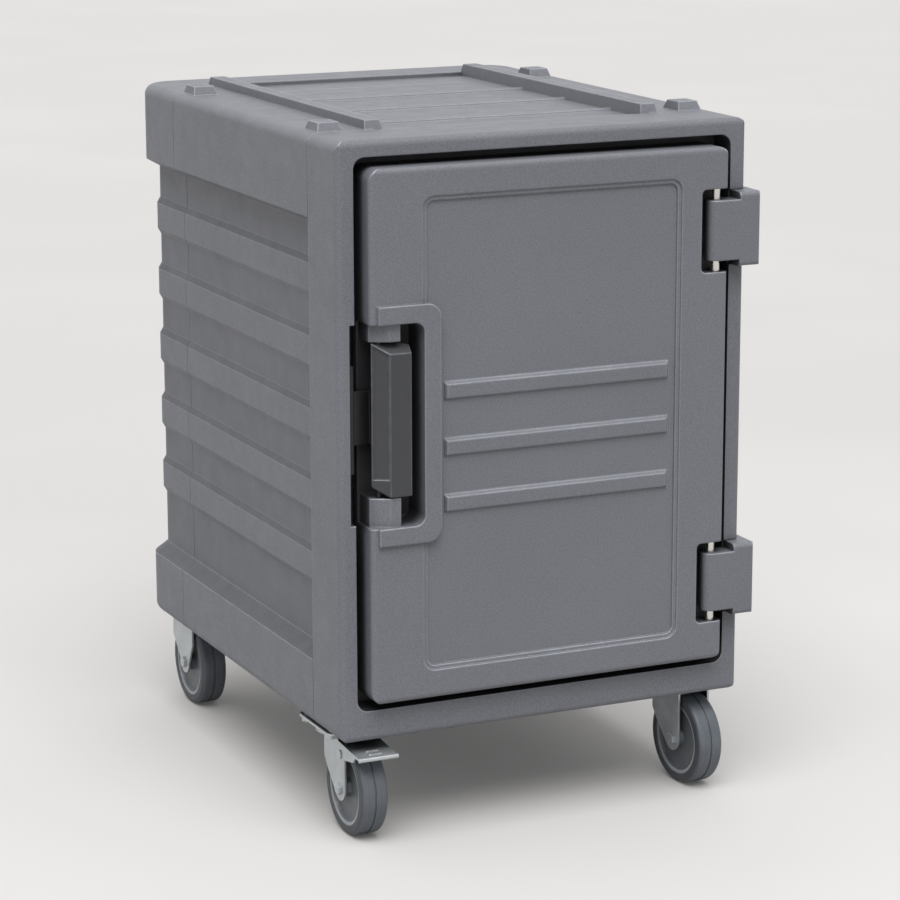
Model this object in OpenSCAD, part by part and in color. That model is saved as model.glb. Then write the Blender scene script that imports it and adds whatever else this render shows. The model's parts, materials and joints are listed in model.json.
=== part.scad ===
// Insulated food cupboard on castors: a double-walled moulded cabinet with a front door,
// a paddle latch, two block hinges, two swivel castors (one with a brake) and two fixed castors.
// Millimetres. Z is up, the door faces -Y, the hinges are on +X, the floor is Z = 0.

/* [Cabinet] */
// width across the front frame
cabinet_w = 500; // [490:1:530]
// depth from the front face of the frame to the back
cabinet_d = 638; // [600:1:680]
// height of the body above the castor plates
cabinet_h = 668; // [664:1:676]
// radius of the two rear upright corners
rear_corner_r = 46; // [40:1:56]
// radius of the long top and bottom edges
body_edge_r = 12; // [10:0.5:14]
// wall thickness of the outer mouldings
skin = 5; // [4:0.5:6]
// depth of the rear cap, back from its seam
rear_cap_depth = 138; // [130:1:150]
// clearance between the foam and the mouldings round it
foam_gap = 0.3; // [0.2:0.1:0.6]
// width of the groove at each seam
seam_w = 1.2; // [0.8:0.1:1.6]
// depth of the groove at each seam
seam_depth = 1.5; // [1:0.1:2]

/* [Front frame] */
// depth of the front frame moulding
frame_depth = 79; // [76:1:88]
// width of the frame's face at the left and right
frame_side = 20; // [19:0.5:22]
// width of the frame's face at the top
frame_top = 18; // [16:0.5:22]
// width of the frame's face at the bottom
frame_bottom = 35; // [32:0.5:40]
// corner radius of the door opening
opening_r = 13; // [10:0.5:16]
// radius of the frame's front edges
frame_edge_r = 7; // [5:0.5:8]
// depth of the door seat behind the frame's face
seat_depth = 38; // [37:0.5:40]
// width of the seat that the gasket closes on
seat_w = 36; // [35:0.5:40]
// thickness of the seat
seat_t = 10; // [8:0.5:12]
// thickness of the ring behind the seat
ring_t = 26; // [25:0.5:30]

/* [Side walls] */
// depth of the recessed wall below the bands
recess = 16; // [12:0.5:18]
// height of the flat face of the top band
top_band = 91; // [85:1:95]
// height of the slope under the top band
top_slope = 9; // [6:0.5:12]
// height of the flat face of the base band
base_band = 77; // [72:1:82]
// height of the slope over the base band
base_slope = 13; // [8:0.5:16]
// number of ribs round the side and back
rib_count = 5; // [3:1:5]
// distance from rib to rib
rib_pitch = 82; // [78:0.5:84]
// height of a rib at its foot
rib_h = 46; // [40:0.5:50]
// height of the slope at a rib's upper and lower edge
rib_slope = 7; // [4:0.5:9]
// how far a rib stands out of the recess
rib_rise = 4; // [2:0.25:5]
// height of the lowest rib's foot above the body's underside
rib_start = 155; // [150:1:160]

/* [Top] */
// width of a stacking lug at its foot
lug_w = 30; // [26:1:36]
// length of a stacking lug at its foot
lug_l = 38; // [32:1:50]
// height of a stacking lug
lug_h = 10; // [8:0.5:14]
// how far the sides of a lug lean in
lug_lean = 3; // [2:0.5:5]
// how far the ends of a lug lean in
lug_end_lean = 6; // [4:0.5:8]
// distance from the body's side to a lug
lug_inset = 13; // [12.5:0.5:16]
// distance from a seam's groove to a lug
lug_set = 0.3; // [0.2:0.1:4]
// distance from the body's side to a rail
rail_inset = 68; // [66:1:74]
// width of a top rail
rail_w = 23.5; // [16:0.5:28]
// height of a top rail
rail_h = 10; // [6:0.5:12]
// how far the sides of a rail lean in
rail_lean = 2.75; // [2:0.25:4]
// how far the ends of a rail lean in
rail_end_lean = 7; // [4:0.5:8]
// how far the rails run on over the rear cap
rail_run = 66; // [40:1:70]
// drop of the panel between the rails
panel_drop = 5; // [3:0.5:6]
// largest number of cross ribs on the top panel
cross_ribs = 3; // [2:1:3]
// width of a cross rib
cross_rib_w = 16; // [10:1:22]
// height of a cross rib
cross_rib_h = 2.5; // [1.5:0.25:4]
// distance from cross rib to cross rib
cross_rib_pitch = 115; // [100:1:125]
// distance from the front seam to the first cross rib
cross_rib_start = 81; // [70:1:90]

/* [Liner] */
// wall thickness of the inner liner
liner_t = 4; // [3:0.5:5]
// inside corner radius of the liner
liner_r = 20; // [15:1:26]
// thickness of the rear wall, liner to outside
rear_wall = 50; // [46:1:60]
// width of the liner's flange behind the seat
liner_flange = 18; // [12:1:22]
// number of runners on each side
runner_count = 8; // [5:1:8]
// distance from runner to runner
runner_pitch = 58; // [52:1:60]
// depth of a runner into the cupboard
runner_w = 24; // [16:1:28]
// thickness of a runner
runner_t = 6; // [4:0.5:8]
// height of the lowest runner above the liner's floor
runner_start = 60; // [50:1:70]

/* [Door] */
// gap between the door and the opening
door_gap = 11; // [10.5:0.25:12]
// how far the door stands out in front of the frame
door_proud = 18; // [16:0.5:19]
// corner radius of the door
door_r = 14; // [11:0.5:18]
// radius of the door's front edges
door_edge_r = 6; // [4:0.5:7]
// wall thickness of the door mouldings
door_skin = 6; // [5:0.5:7]
// thickness of the inner door pan
pan_t = 4; // [3:0.5:5]
// thickness of the gasket
gasket_t = 6; // [5.5:0.25:7]
// width of the gasket
gasket_w = 10; // [8:0.5:11]
// distance from the seat's inner edge to the gasket
gasket_inset = 4; // [3:0.5:4.5]
// gap round the plug that enters the liner
plug_gap = 8; // [7:0.5:10]
// depth of the plug behind the pan
plug_depth = 22; // [15:0.5:24]
// clearance between the door's fixed pieces
door_fit = 0.2; // [0.1:0.05:0.3]

/* [Door panel] */
// width of the sunk panel
panel_w = 316; // [300:1:322]
// height of the sunk panel
panel_h = 528; // [510:1:534]
// how far the panel's middle stands to the right of the door's middle
panel_shift = 1; // [0:0.5:3]
// depth of the panel's outer step
panel_step = 1.4; // [1:0.1:2]
// depth of the panel's floor
panel_depth = 3.4; // [2.8:0.1:4]
// width of the panel's outer step
panel_edge = 5; // [3:0.5:7]
// corner radius of the panel
panel_r = 14; // [10:0.5:18]
// length of a panel rib
bar_l = 279; // [260:1:285]
// height of a panel rib
bar_h = 23; // [18:0.5:26]
// height of the slope at a panel rib's upper and lower edge
bar_slope = 4; // [2:0.5:6]
// distance from panel rib to panel rib
bar_pitch = 63; // [55:1:68]
// how far the middle panel rib stands below the door's middle
bar_drop = 14; // [8:1:20]

/* [Handle surround] */
// length of the surround
surround_h = 265; // [255:1:270]
// how far its middle stands above the door's middle
surround_rise = 16; // [10:1:18]
// reach of the surround from the door's left edge
surround_reach = 82; // [78:1:86]
// distance from the door's left edge to the surround's left end
surround_start = 8; // [7:0.5:10]
// width of the surround's limbs
surround_w = 20; // [16:0.5:22]
// height of the surround over the door's face
surround_rise_out = 4; // [2:0.5:5]
// outer corner radius of the surround
surround_r = 16; // [12:0.5:20]
// depth of the finger recess behind the door's face
finger_depth = 40; // [38:0.5:40]

/* [Latch] */
// distance from the door's left edge to the latch pin
latch_x = 14; // [13:0.5:15]
// distance from the door's face back to the latch pin
latch_y = 13; // [12:0.5:14]
// height of the upper latch lug
latch_lug_h = 20; // [16:0.5:22]
// height of the lower latch lug
latch_lug_low = 32; // [24:0.5:36]
// distance from the latch pin to the far edge of a latch lug
latch_lug_w = 22; // [20:0.5:24]
// distance from the latch pin to the near edge of a latch lug
latch_lug_back = 11; // [10:0.5:12]
// how far a latch lug stands behind the handle's front face
latch_lug_set = 1.5; // [1:0.25:3]
// gap between a lug and the handle
latch_play = 1; // [0.5:0.1:1.5]
// diameter of the latch pin
latch_pin_d = 5; // [4:0.25:5]
// depth of the pin's hole in each lug
latch_pin_seat = 14; // [10:1:15]
// running clearance on radius of every pin
pin_play = 0.06; // [0.03:0.01:0.09]
// width of the handle's front face
grip_w = 25; // [20:0.5:28]
// thickness of the handle's pull edge
grip_t = 8; // [6:0.5:9]
// distance from the latch pin to the handle's front face
grip_front = 12; // [11:0.5:13]
// distance from the latch pin to the near edge of the front face
grip_start = 9.5; // [8:0.5:10]
// radius of the handle's boss
boss_r = 5; // [4.5:0.25:5]
// distance from the latch pin to the flank's far edge
flank_x = 8.5; // [8:0.25:9]
// how far the handle's front face is set down from its back
grip_drop = 12; // [8:0.5:14]
// height of the tongue
tongue_h = 60; // [40:1:80]
// reach of the tongue from the latch pin towards the frame
tongue_x = 23; // [22.5:0.25:23.5]
// distance from the latch pin back to the tongue
tongue_y = 17; // [16.5:0.25:17.5]
// thickness of the tongue
tongue_t = 4; // [3:0.25:4.25]
// depth of the hollow in the handle's flank
flank_hollow = 1.25; // [0.75:0.25:1.5]
// margin round the hollow in the handle's flank
flank_margin = 2; // [1.5:0.5:4]
// height of the full flank under the hollow
flank_foot = 20; // [12:1:30]

/* [Keeper] */
// depth of the keeper's pocket in the frame
keeper_pocket = 6; // [5:0.5:8]
// length of the pocket
keeper_pocket_h = 222; // [190:1:230]
// thickness of the keeper plate
keeper_t = 2.5; // [2:0.25:3]
// height of the keeper plate
keeper_h = 120; // [110:1:150]
// distance from the frame's face to the keeper's lip
keeper_y = 3; // [2:0.25:3.5]
// depth of the keeper from front to back
keeper_l = 30; // [28:0.5:33]
// gap between the keeper's lip and the opening
keeper_set = 0.2; // [0.1:0.05:0.5]
// diameter of a keeper screw
keeper_screw_d = 4; // [3:0.5:5]

/* [Hinges] */
// distance from the door's right edge to the hinge pin
hinge_x = 12; // [11:0.25:13]
// distance from the door's face back to the hinge pin
hinge_y = 9; // [8.5:0.25:10]
// diameter of the hinge pin
hinge_pin_d = 10; // [8:0.5:10]
// depth of the pin's hole over and under the notch
hinge_pin_seat = 14; // [10:1:16]
// height of the notch in the door
notch_h = 94; // [90:1:98]
// width of the notch from the hinge pin
notch_w = 22.5; // [20:0.5:24]
// corner radius of the notch
notch_r = 6; // [4:0.5:8]
// height of the hinge barrel
barrel_h = 68; // [64:1:74]
// radius of the hinge barrel
barrel_r = 12; // [11:0.25:12.5]
// gap between the barrel and the notch's floor
notch_gap = 1.5; // [1:0.25:2]
// height of the hinge block on the frame
block_h = 84; // [78:1:88]
// thickness of the hinge block's side leg
block_w = 26; // [22:0.5:28]
// how far the hinge block stands out from the cabinet's side
block_out = 8; // [6:0.5:10]
// length of the hinge block along the frame's side
block_l = 66; // [62:0.5:72]
// radius of the hinge block's outer front edge
block_r = 3; // [2:0.5:5]
// radius of the hinge block's upper and lower front edges
block_edge = 5; // [3:0.5:6]
// clearance of the hinge block in the frame
block_fit = 0.5; // [0.3:0.1:0.8]
// height of the upper hinge above the body's underside
hinge_upper = 545; // [530:1:550]
// height of the lower hinge above the body's underside
hinge_lower = 138; // [130:1:150]
// diameter of a hinge screw
hinge_screw_d = 6; // [5:0.5:7]
// distance between the screws of one hinge
hinge_screw_span = 50; // [44:1:56]
// length of a hinge screw in the frame
hinge_grip = 6; // [5:0.5:7]

/* [Castors] */
// wheel diameter
wheel_d = 108; // [100:1:112]
// wheel width
wheel_w = 32; // [28:1:33]
// gap between a front wheel and the fork's crown over it
crown_gap = 3; // [2.5:0.25:5]
// distance from the cabinet's side to a front castor's swivel axis
castor_x = 39; // [37:1:46]
// distance from the cabinet's side to the middle of a rear castor
castor_rear_x = 51; // [48:1:58]
// distance from the frame's face to the swivel axis
castor_front = 87; // [85:1:92]
// distance from the cabinet's back to the fixed castors' axle
castor_rear = 54; // [52:1:64]
// offset of the wheel from the swivel axis
trail = 38; // [34:0.5:40]
// turn of the front left castor in degrees
yaw_left = 0; // [-10:1:10]
// turn of the front right castor in degrees
yaw_right = 3; // [-10:1:10]
// length of a castor plate, front to back
plate_l = 92; // [88:1:96]
// width of a castor plate
plate_w = 74; // [73:1:76]
// corner radius of a castor plate
plate_r = 8; // [5:0.5:10]
// thickness of the pressed castor steel
steel_t = 2.5; // [2:0.25:3]
// distance between castor bolts, front to back
bolt_l = 70; // [66:1:72]
// distance between castor bolts across
bolt_w = 57; // [56.5:0.5:58]
// diameter of a castor bolt
bolt_d = 8; // [6:1:8]
// length of a castor bolt in the body
bolt_grip = 18; // [12:1:20]
// height of the fixed race under the plate
race_h = 5; // [5:0.5:7]
// radius of the fixed race
race_r = 28; // [24:1:30]
// gap between the race and the fork
race_gap = 0.6; // [0.4:0.1:1]
// diameter of the king pin
king_d = 12; // [10:0.5:14]
// width of the king pin's rivet head beyond the pin
king_head = 4; // [3:0.5:5]
// height of the king pin's rivet head
king_head_h = 4; // [3:0.5:4.5]
// gap between a wheel and its fork
fork_gap = 2.5; // [2:0.25:3.5]
// radius of the fork's foot round the axle
foot_r = 14; // [12:0.5:15]
// radius of the fork's crown
crown_r = 31; // [29:1:33]
// how far a swivel leg runs back past the swivel axis
leg_reach = 6; // [3:0.5:10]
// height of a leg's rear shoulder above the axle
leg_shoulder = 28; // [24:0.5:32]
// height of the slope under the rear shoulder
leg_slope_h = 9; // [6:0.5:12]
// depth of the slope under the rear shoulder
leg_slope_l = 6; // [3:0.5:9]
// reach of a fixed leg's top to the front of the axle
rigid_front = 28; // [24:0.5:34]
// reach of a fixed leg's top to the rear of the axle
rigid_rear = 40; // [34:0.5:42]
// diameter of an axle bolt
axle_d = 8; // [6:1:10]
// tyre thickness
tyre_t = 11; // [10:0.5:13]
// radius of the tyre's shoulders
tyre_r = 5; // [3:0.5:5]
// width of the groove round the tyre
groove_w = 2; // [1.5:0.25:4]
// depth of the groove round the tyre
groove_t = 1; // [0.75:0.25:2]
// width of the hub's rim
hub_rim = 3.5; // [3:0.25:5]
// depth of the hub's rim behind the tyre's side
hub_set = 1; // [0.5:0.25:2]
// depth of the hub's dish behind the tyre's side
hub_dish = 5; // [4:0.5:7]
// slope of the hub's dish at its edges
hub_draft = 2; // [1:0.25:3]
// wall of the hub's boss round the sleeve
hub_boss = 3; // [2:0.5:5]

/* [Brake] */
// distance from the axle forward to the pedal's pin
pedal_fore = 8; // [6:0.5:9]
// distance from the wheel's top down to the pedal's pin
pedal_pin_drop = 11; // [10:0.25:12]
// diameter of the pedal's pin
pedal_pin_d = 5; // [4:0.5:5]
// gap between the wheel's top and the pedal
pedal_clear = 1; // [0.8:0.1:1.5]
// thickness of the pedal
pedal_t = 2; // [1.5:0.25:2.5]
// length of the pedal
pedal_l = 61; // [54:1:66]
// reach of the pedal behind its pin
pedal_back = 8; // [6:0.5:8]
// slope of the pedal in degrees
pedal_slope = 5; // [3:0.5:8]
// radius of the lip at the pedal's front edge
lip_r = 2.5; // [2:0.25:3]
// number of raised bars on the pedal
tread_bars = 2; // [1:1:3]
// distance from bar to bar
tread_pitch = 9; // [8:0.5:10]
// width of a raised bar
tread_w = 3; // [2:0.5:4]
// height of a raised bar
tread_h = 1; // [0.5:0.25:1.5]
// distance from a raised bar's end to the pedal's side
tread_inset = 16; // [10:0.5:18]
// gap between a fork leg and the pedal's cheek
cheek_gap = 0.3; // [0.2:0.05:0.5]
// thickness of a cheek
cheek_t = 2.2; // [1.5:0.1:2.5]
// length of a cheek in front of the pin
cheek_l = 42; // [36:1:46]
// height of a cheek at its front end
cheek_h = 10; // [8:0.5:12]
// slope of a cheek's front end
cheek_slope = 6; // [4:0.5:9]
// radius of a cheek round the pin
cheek_r = 6; // [5:0.25:6.5]
// thickness of the pin's rivet head
rivet_h = 1.5; // [1:0.25:2]
// distance from the pedal's pin to the brake shoe's middle
shoe_y = 14; // [13:0.5:16]
// length of the brake shoe
shoe_l = 10; // [8:0.5:11]
// depth of the brake shoe under the pedal
shoe_h = 1.5; // [1:0.25:1.75]

/* [Hidden] */
$fn = 48;
half_w = cabinet_w / 2;
// castors, from the floor up
axle_z = wheel_d / 2;
crown_bottom = wheel_d + crown_gap;
crown_top = crown_bottom + steel_t;
plate_z = crown_top + race_gap + race_h;
castor_h = plate_z + steel_t;
castor_cx = half_w - castor_x;
castor_rear_cx = half_w - castor_rear_x;
rear_axle_y = cabinet_d - castor_rear;
// body
body_bottom = castor_h;
body_top = castor_h + cabinet_h;
seam_rear = cabinet_d - rear_cap_depth;
corner_y = cabinet_d - rear_corner_r;
screw_head = hinge_screw_d * 0.5;
shift_x = -(block_out + screw_head) / 2;
shift_y = -(cabinet_d - door_proud - surround_rise_out) / 2;
inner_top = panel_drop + skin;
// cross ribs that fit between the seams
cross_room = seam_rear - frame_depth - cross_rib_start - cross_rib_w / 2;
cross_count = min(cross_ribs, floor(cross_room / cross_rib_pitch) + 1);
// door opening, seat and liner
opening_w = cabinet_w - 2 * frame_side;
opening_h = cabinet_h - frame_top - frame_bottom;
opening_z = body_bottom + frame_bottom + opening_h / 2;
seat_inner_w = opening_w - 2 * seat_w;
seat_inner_h = opening_h - 2 * seat_w;
liner_back = cabinet_d - rear_wall;
liner_floor = opening_z - seat_inner_h / 2;
seat_back = seat_depth + seat_t;
// door
door_w = opening_w - 2 * door_gap;
door_h = opening_h - 2 * door_gap;
door_left = -door_w / 2;
door_right = door_w / 2;
door_front = -door_proud;
door_back = seat_depth - gasket_t;
pan_front = door_back - pan_t;
plug_w = seat_inner_w - 2 * plug_gap;
plug_h = seat_inner_h - 2 * plug_gap;
block_back = pan_front - 1;
// latch
surround_z = opening_z + surround_rise;
recess_h = surround_h - 2 * surround_w;
pin_x = door_left + latch_x;
pin_y = door_front + latch_y;
finger_back = door_front + finger_depth;
handle_h = recess_h - latch_lug_h - latch_lug_low - 2 * latch_play;
handle_z = surround_z + (latch_lug_low - latch_lug_h) / 2;
lug_z = handle_h / 2 + latch_play;
// hinges
axis_x = door_right - hinge_x;
axis_y = door_front + hinge_y;
block_in = half_w + block_out - block_w;
block_front = axis_y - barrel_r;
arm_back = axis_y + barrel_r - 0.5;
hinge_screw_y = block_l - 8;
// wheels, bolts and brake
leg_in = wheel_w / 2 + fork_gap;
leg_out = leg_in + steel_t;
hub_r = wheel_d / 2 - tyre_t;
sleeve_r = axle_d / 2 + 3;
boss_pad_r = bolt_d / 2 + 8;
bolt_head_r = bolt_d * 0.92;
bolt_head_h = bolt_d * 0.65;
axle_head_r = axle_d * 0.9;
axle_head_h = axle_d * 0.45;
axle_end = 1.5;
pedal_pin_y = trail + pedal_fore;
pedal_z = axle_z + wheel_d / 2 - pedal_pin_drop;
pedal_rise = pedal_pin_drop + pedal_clear + pedal_t;
cheek_in = leg_out + cheek_gap;
cheek_out = cheek_in + cheek_t;
// front top corner of the two fork kinds, from the axle
plain_front = -foot_r;
brake_front = pedal_pin_d;

// moves the cabinet's own frame to the middle of the whole object
module place() {
    translate([shift_x, shift_y, 0]) children();
}

// raises an outline drawn in X and Z between two depths
module along_y(y0, y1) {
    translate([0, y1, 0]) rotate([90, 0, 0]) linear_extrude(y1 - y0) children();
}

// raises an outline drawn in Y and Z between two widths
module along_x(x0, x1) {
    translate([x0, 0, 0]) rotate([90, 0, 90]) linear_extrude(x1 - x0) children();
}

module round_rect(w, h, r) {
    square([w - 2 * r, h], center = true);
    square([w, h - 2 * r], center = true);
    for (sx = [-1, 1]) {
        for (sy = [-1, 1]) {
            translate([sx * (w / 2 - r), sy * (h / 2 - r)]) circle(r);
        }
    }
}

// a block of width w and height h whose four front edges and four corners are rounded
module soft_block(w, h, y0, y1, corner, edge) {
    intersection() {
        along_y(y0, y1) round_rect(w, h, corner);
        translate([0, 0, -h / 2]) linear_extrude(h) front_round(w, y0, y1, edge);
        along_x(-w / 2, w / 2) rotate(90) mirror([0, 1]) front_round(h, y0, y1, edge);
    }
}

// an outline of width w from y0 to y1 with its two front corners rounded
module front_round(w, y0, y1, r) {
    translate([-w / 2, y0 + r]) square([w, y1 - y0 - r]);
    translate([-w / 2 + r, y0]) square([w - 2 * r, y1 - y0]);
    for (s = [-1, 1]) {
        translate([s * (w / 2 - r), y0 + r]) circle(r);
    }
}

// outer wall line with bands and ribs, from the bottom to the top, at distance w from the middle
function rib_foot(i) = rib_start + i * rib_pitch;
function rib_line(w, i) = [
    [w - recess, rib_foot(i)],
    [w - recess + rib_rise, rib_foot(i) + rib_slope],
    [w - recess + rib_rise, rib_foot(i) + rib_h - rib_slope],
    [w - recess, rib_foot(i) + rib_h]
];
function wall_line(w) = concat(
    [[w, 0], [w, base_band], [w - recess, base_band + base_slope]],
    [for (i = [0 : rib_count - 1]) for (p = rib_line(w, i)) p],
    [[w - recess, cabinet_h - top_band - top_slope], [w, cabinet_h - top_band], [w, cabinet_h]]
);

// half of the body's section, from the middle out to distance w, set in by inset and lowered at the top
module half_section(w, inset, drop) {
    reach = w - inset;
    r = body_edge_r - min(inset, skin);
    intersection() {
        polygon(concat([[0, 0]], wall_line(reach), [[0, cabinet_h]]));
        union() {
            translate([0, inset]) square([reach - r, cabinet_h - inset - drop]);
            translate([0, inset + r]) square([reach, cabinet_h - inset - drop - 2 * r]);
            translate([reach - r, inset + r]) circle(r);
            translate([reach - r, cabinet_h - drop - r]) circle(r);
        }
    }
}

module full_section(inset, drop) {
    half_section(half_w, inset, drop);
    mirror([1, 0]) half_section(half_w, inset, drop);
}

// straight part of the body between two depths
module straight_body(y0, y1, inset, drop) {
    translate([0, 0, body_bottom]) along_y(y0, y1) full_section(inset, drop);
}

// back of the body with its two round corners, from a depth on
module rear_body(start, inset, drop) {
    flat_x = half_w - rear_corner_r;
    straight_body(start, corner_y, inset, drop);
    translate([0, corner_y, body_bottom]) {
        along_x(-flat_x, flat_x) half_section(rear_corner_r, inset, drop);
        translate([flat_x, 0, 0]) rotate_extrude(angle = 90) half_section(rear_corner_r, inset, drop);
        translate([-flat_x, 0, 0]) rotate([0, 0, 90]) rotate_extrude(angle = 90) {
            half_section(rear_corner_r, inset, drop);
        }
    }
}

// a block on the top whose sides and ends lean in
module lug(x, y) {
    foot_z = body_top - 1;
    height = lug_h + 1;
    translate([x, y, foot_z]) {
        intersection() {
            along_y(0, lug_l) polygon([
                [-lug_w / 2, 0],
                [lug_w / 2, 0],
                [lug_w / 2 - lug_lean, height],
                [lug_lean - lug_w / 2, height]
            ]);
            along_x(-lug_w / 2, lug_w / 2) polygon([
                [0, 0],
                [lug_l, 0],
                [lug_l - lug_end_lean, height],
                [lug_end_lean, height]
            ]);
        }
    }
}

module lug_pair(y) {
    for (s = [-1, 1]) {
        lug(s * (half_w - lug_inset - lug_w / 2), y);
    }
}

module rail_pair(y0, y1, lean0, lean1) {
    top = panel_drop + rail_h;
    for (s = [-1, 1]) {
        translate([s * (half_w - rail_inset - rail_w / 2), 0, body_top - panel_drop]) {
            intersection() {
                along_y(y0, y1) polygon([
                    [-rail_w / 2, -1],
                    [rail_w / 2, -1],
                    [rail_w / 2 - rail_lean, top],
                    [rail_lean - rail_w / 2, top]
                ]);
                along_x(-rail_w / 2, rail_w / 2) {
                    polygon([[y0, -1], [y1, -1], [y1 - lean1, top], [y0 + lean0, top]]);
                }
            }
        }
    }
}

// hollow between the rails
module top_panel(y0, y1) {
    w = cabinet_w - 2 * (rail_inset + rail_w / 2);
    translate([-w / 2, y0, body_top - panel_drop]) cube([w, y1 - y0, panel_drop + 1]);
}

module castor_places() {
    for (s = [-1, 1]) {
        translate([s * castor_cx, castor_front, 0]) children();
        translate([s * castor_rear_cx, rear_axle_y, 0]) children();
    }
}

module bolt_places() {
    for (sx = [-1, 1]) {
        for (sy = [-1, 1]) {
            translate([sx * bolt_w / 2, sy * bolt_l / 2, 0]) children();
        }
    }
}

module bolt_pads(extra) {
    castor_places() bolt_places() translate([0, 0, body_bottom]) {
        cylinder(r = boss_pad_r + extra, h = bolt_grip + 4 + extra);
    }
}

module bolt_holes() {
    castor_places() bolt_places() translate([0, 0, body_bottom - 1]) {
        cylinder(d = bolt_d + 2 * pin_play, h = bolt_grip + 2);
    }
}

module front_frame() {
    color([0.45, 0.46, 0.47]) place() difference() {
        translate([0, 0, body_bottom + cabinet_h / 2]) {
            soft_block(cabinet_w, cabinet_h, 0, frame_depth, body_edge_r, frame_edge_r);
        }
        translate([0, 0, opening_z]) {
            along_y(-1, seat_depth) round_rect(opening_w, opening_h, opening_r);
            along_y(-1, frame_depth + 1) round_rect(seat_inner_w, seat_inner_h, liner_r);
        }
        translate([0, 0, body_bottom + cabinet_h / 2]) {
            along_y(seat_back, frame_depth + 1) {
                round_rect(cabinet_w - 2 * ring_t, cabinet_h - 2 * ring_t, body_edge_r);
            }
        }
        hinge_seat(hinge_upper);
        hinge_seat(hinge_lower);
        translate([-opening_w / 2 - keeper_pocket, -1, surround_z - keeper_pocket_h / 2]) {
            cube([keeper_pocket + 1, seat_depth + 1, keeper_pocket_h]);
        }
        keeper_screw_places() rotate([0, -90, 0]) cylinder(d = keeper_screw_d + 2 * pin_play, h = 8);
        bolt_holes();
    }
}

// pocket for a hinge block in the frame's right side
module hinge_seat(z) {
    h = block_h + 2 * block_fit;
    translate([block_in - block_fit, -1, body_bottom + z - h / 2]) {
        cube([block_w, block_l + block_fit + 1, h]);
    }
    translate([opening_w / 2 - 1, -1, body_bottom + z - h / 2]) {
        cube([frame_side, arm_back + block_fit + 1, h]);
    }
    hinge_screw_holes(z);
}

module hinge_screw_places(z) {
    for (s = [-1, 1]) {
        translate([half_w + block_out, hinge_screw_y, body_bottom + z + s * hinge_screw_span / 2]) children();
    }
}

module hinge_screw_holes(z) {
    hinge_screw_places(z) rotate([0, -90, 0]) cylinder(d = hinge_screw_d + 2 * pin_play, h = block_w + hinge_grip + 1);
}

module body_jacket() {
    color([0.45, 0.46, 0.47]) place() {
        difference() {
            union() {
                difference() {
                    union() {
                        straight_body(frame_depth + seam_w, seam_rear, 0, 0);
                        straight_body(frame_depth, seam_rear, seam_depth, seam_depth);
                    }
                    straight_body(frame_depth - 1, seam_rear + 1, skin, inner_top);
                    top_panel(frame_depth - 1, seam_rear + 1);
                }
                lug_pair(frame_depth + seam_w + lug_set);
                lug_pair(seam_rear - lug_set - lug_l);
                rail_pair(frame_depth + seam_w, seam_rear, rail_end_lean, 0);
                intersection() {
                    bolt_pads(0);
                    straight_body(frame_depth, seam_rear, skin / 2, inner_top);
                }
                cross_rib_set();
            }
            bolt_holes();
        }
    }
}

module cross_rib_set() {
    w = cabinet_w - 2 * (rail_inset + rail_w / 2);
    for (i = [0 : cross_count - 1]) {
        translate([0, frame_depth + cross_rib_start + i * cross_rib_pitch, body_top - panel_drop - 1]) {
            along_x(-w / 2, w / 2) polygon([
                [-cross_rib_w / 2, 0],
                [cross_rib_w / 2, 0],
                [cross_rib_w / 2 - cross_rib_h, cross_rib_h + 1],
                [cross_rib_h - cross_rib_w / 2, cross_rib_h + 1]
            ]);
        }
    }
}

module rear_cap() {
    color([0.44, 0.45, 0.46]) place() {
        difference() {
            union() {
                difference() {
                    union() {
                        rear_body(seam_rear + seam_w, 0, 0);
                        straight_body(seam_rear, corner_y, seam_depth, seam_depth);
                    }
                    rear_body(seam_rear - 1, skin, inner_top);
                    top_panel(seam_rear - 1, seam_rear + rail_run - rail_end_lean);
                }
                rail_pair(seam_rear, seam_rear + rail_run, 0, rail_end_lean);
                intersection() {
                    bolt_pads(0);
                    rear_body(seam_rear, skin / 2, inner_top);
                }
            }
            bolt_holes();
        }
    }
}

module liner_outside(grow) {
    wall = liner_t + grow;
    flange = liner_flange + grow;
    translate([0, 0, opening_z]) {
        along_y(seat_back, liner_back + wall) {
            round_rect(seat_inner_w + 2 * wall, seat_inner_h + 2 * wall, liner_r + liner_t);
        }
        along_y(seat_back, seat_back + wall) {
            round_rect(seat_inner_w + 2 * flange, seat_inner_h + 2 * flange, liner_r);
        }
    }
}

module inner_liner() {
    color([0.62, 0.63, 0.64]) place() {
        difference() {
            liner_outside(0);
            translate([0, 0, opening_z]) along_y(seat_back - 1, liner_back) {
                round_rect(seat_inner_w, seat_inner_h, liner_r);
            }
        }
    }
}

module tray_runners() {
    color([0.66, 0.67, 0.68]) place() for (s = [-1, 1]) {
        for (i = [0 : runner_count - 1]) {
            runner(s, liner_floor + runner_start + i * runner_pitch);
        }
    }
}

// one ledge on a side wall of the liner
module runner(s, z) {
    wall = seat_inner_w / 2;
    translate([0, 0, z]) {
        along_y(seat_back + plug_depth, liner_back) polygon([
            [s * wall, 0],
            [s * (wall - runner_w), runner_w / 4],
            [s * (wall - runner_w), runner_w / 4 + runner_t],
            [s * wall, runner_w / 4 + runner_t]
        ]);
    }
}

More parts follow.
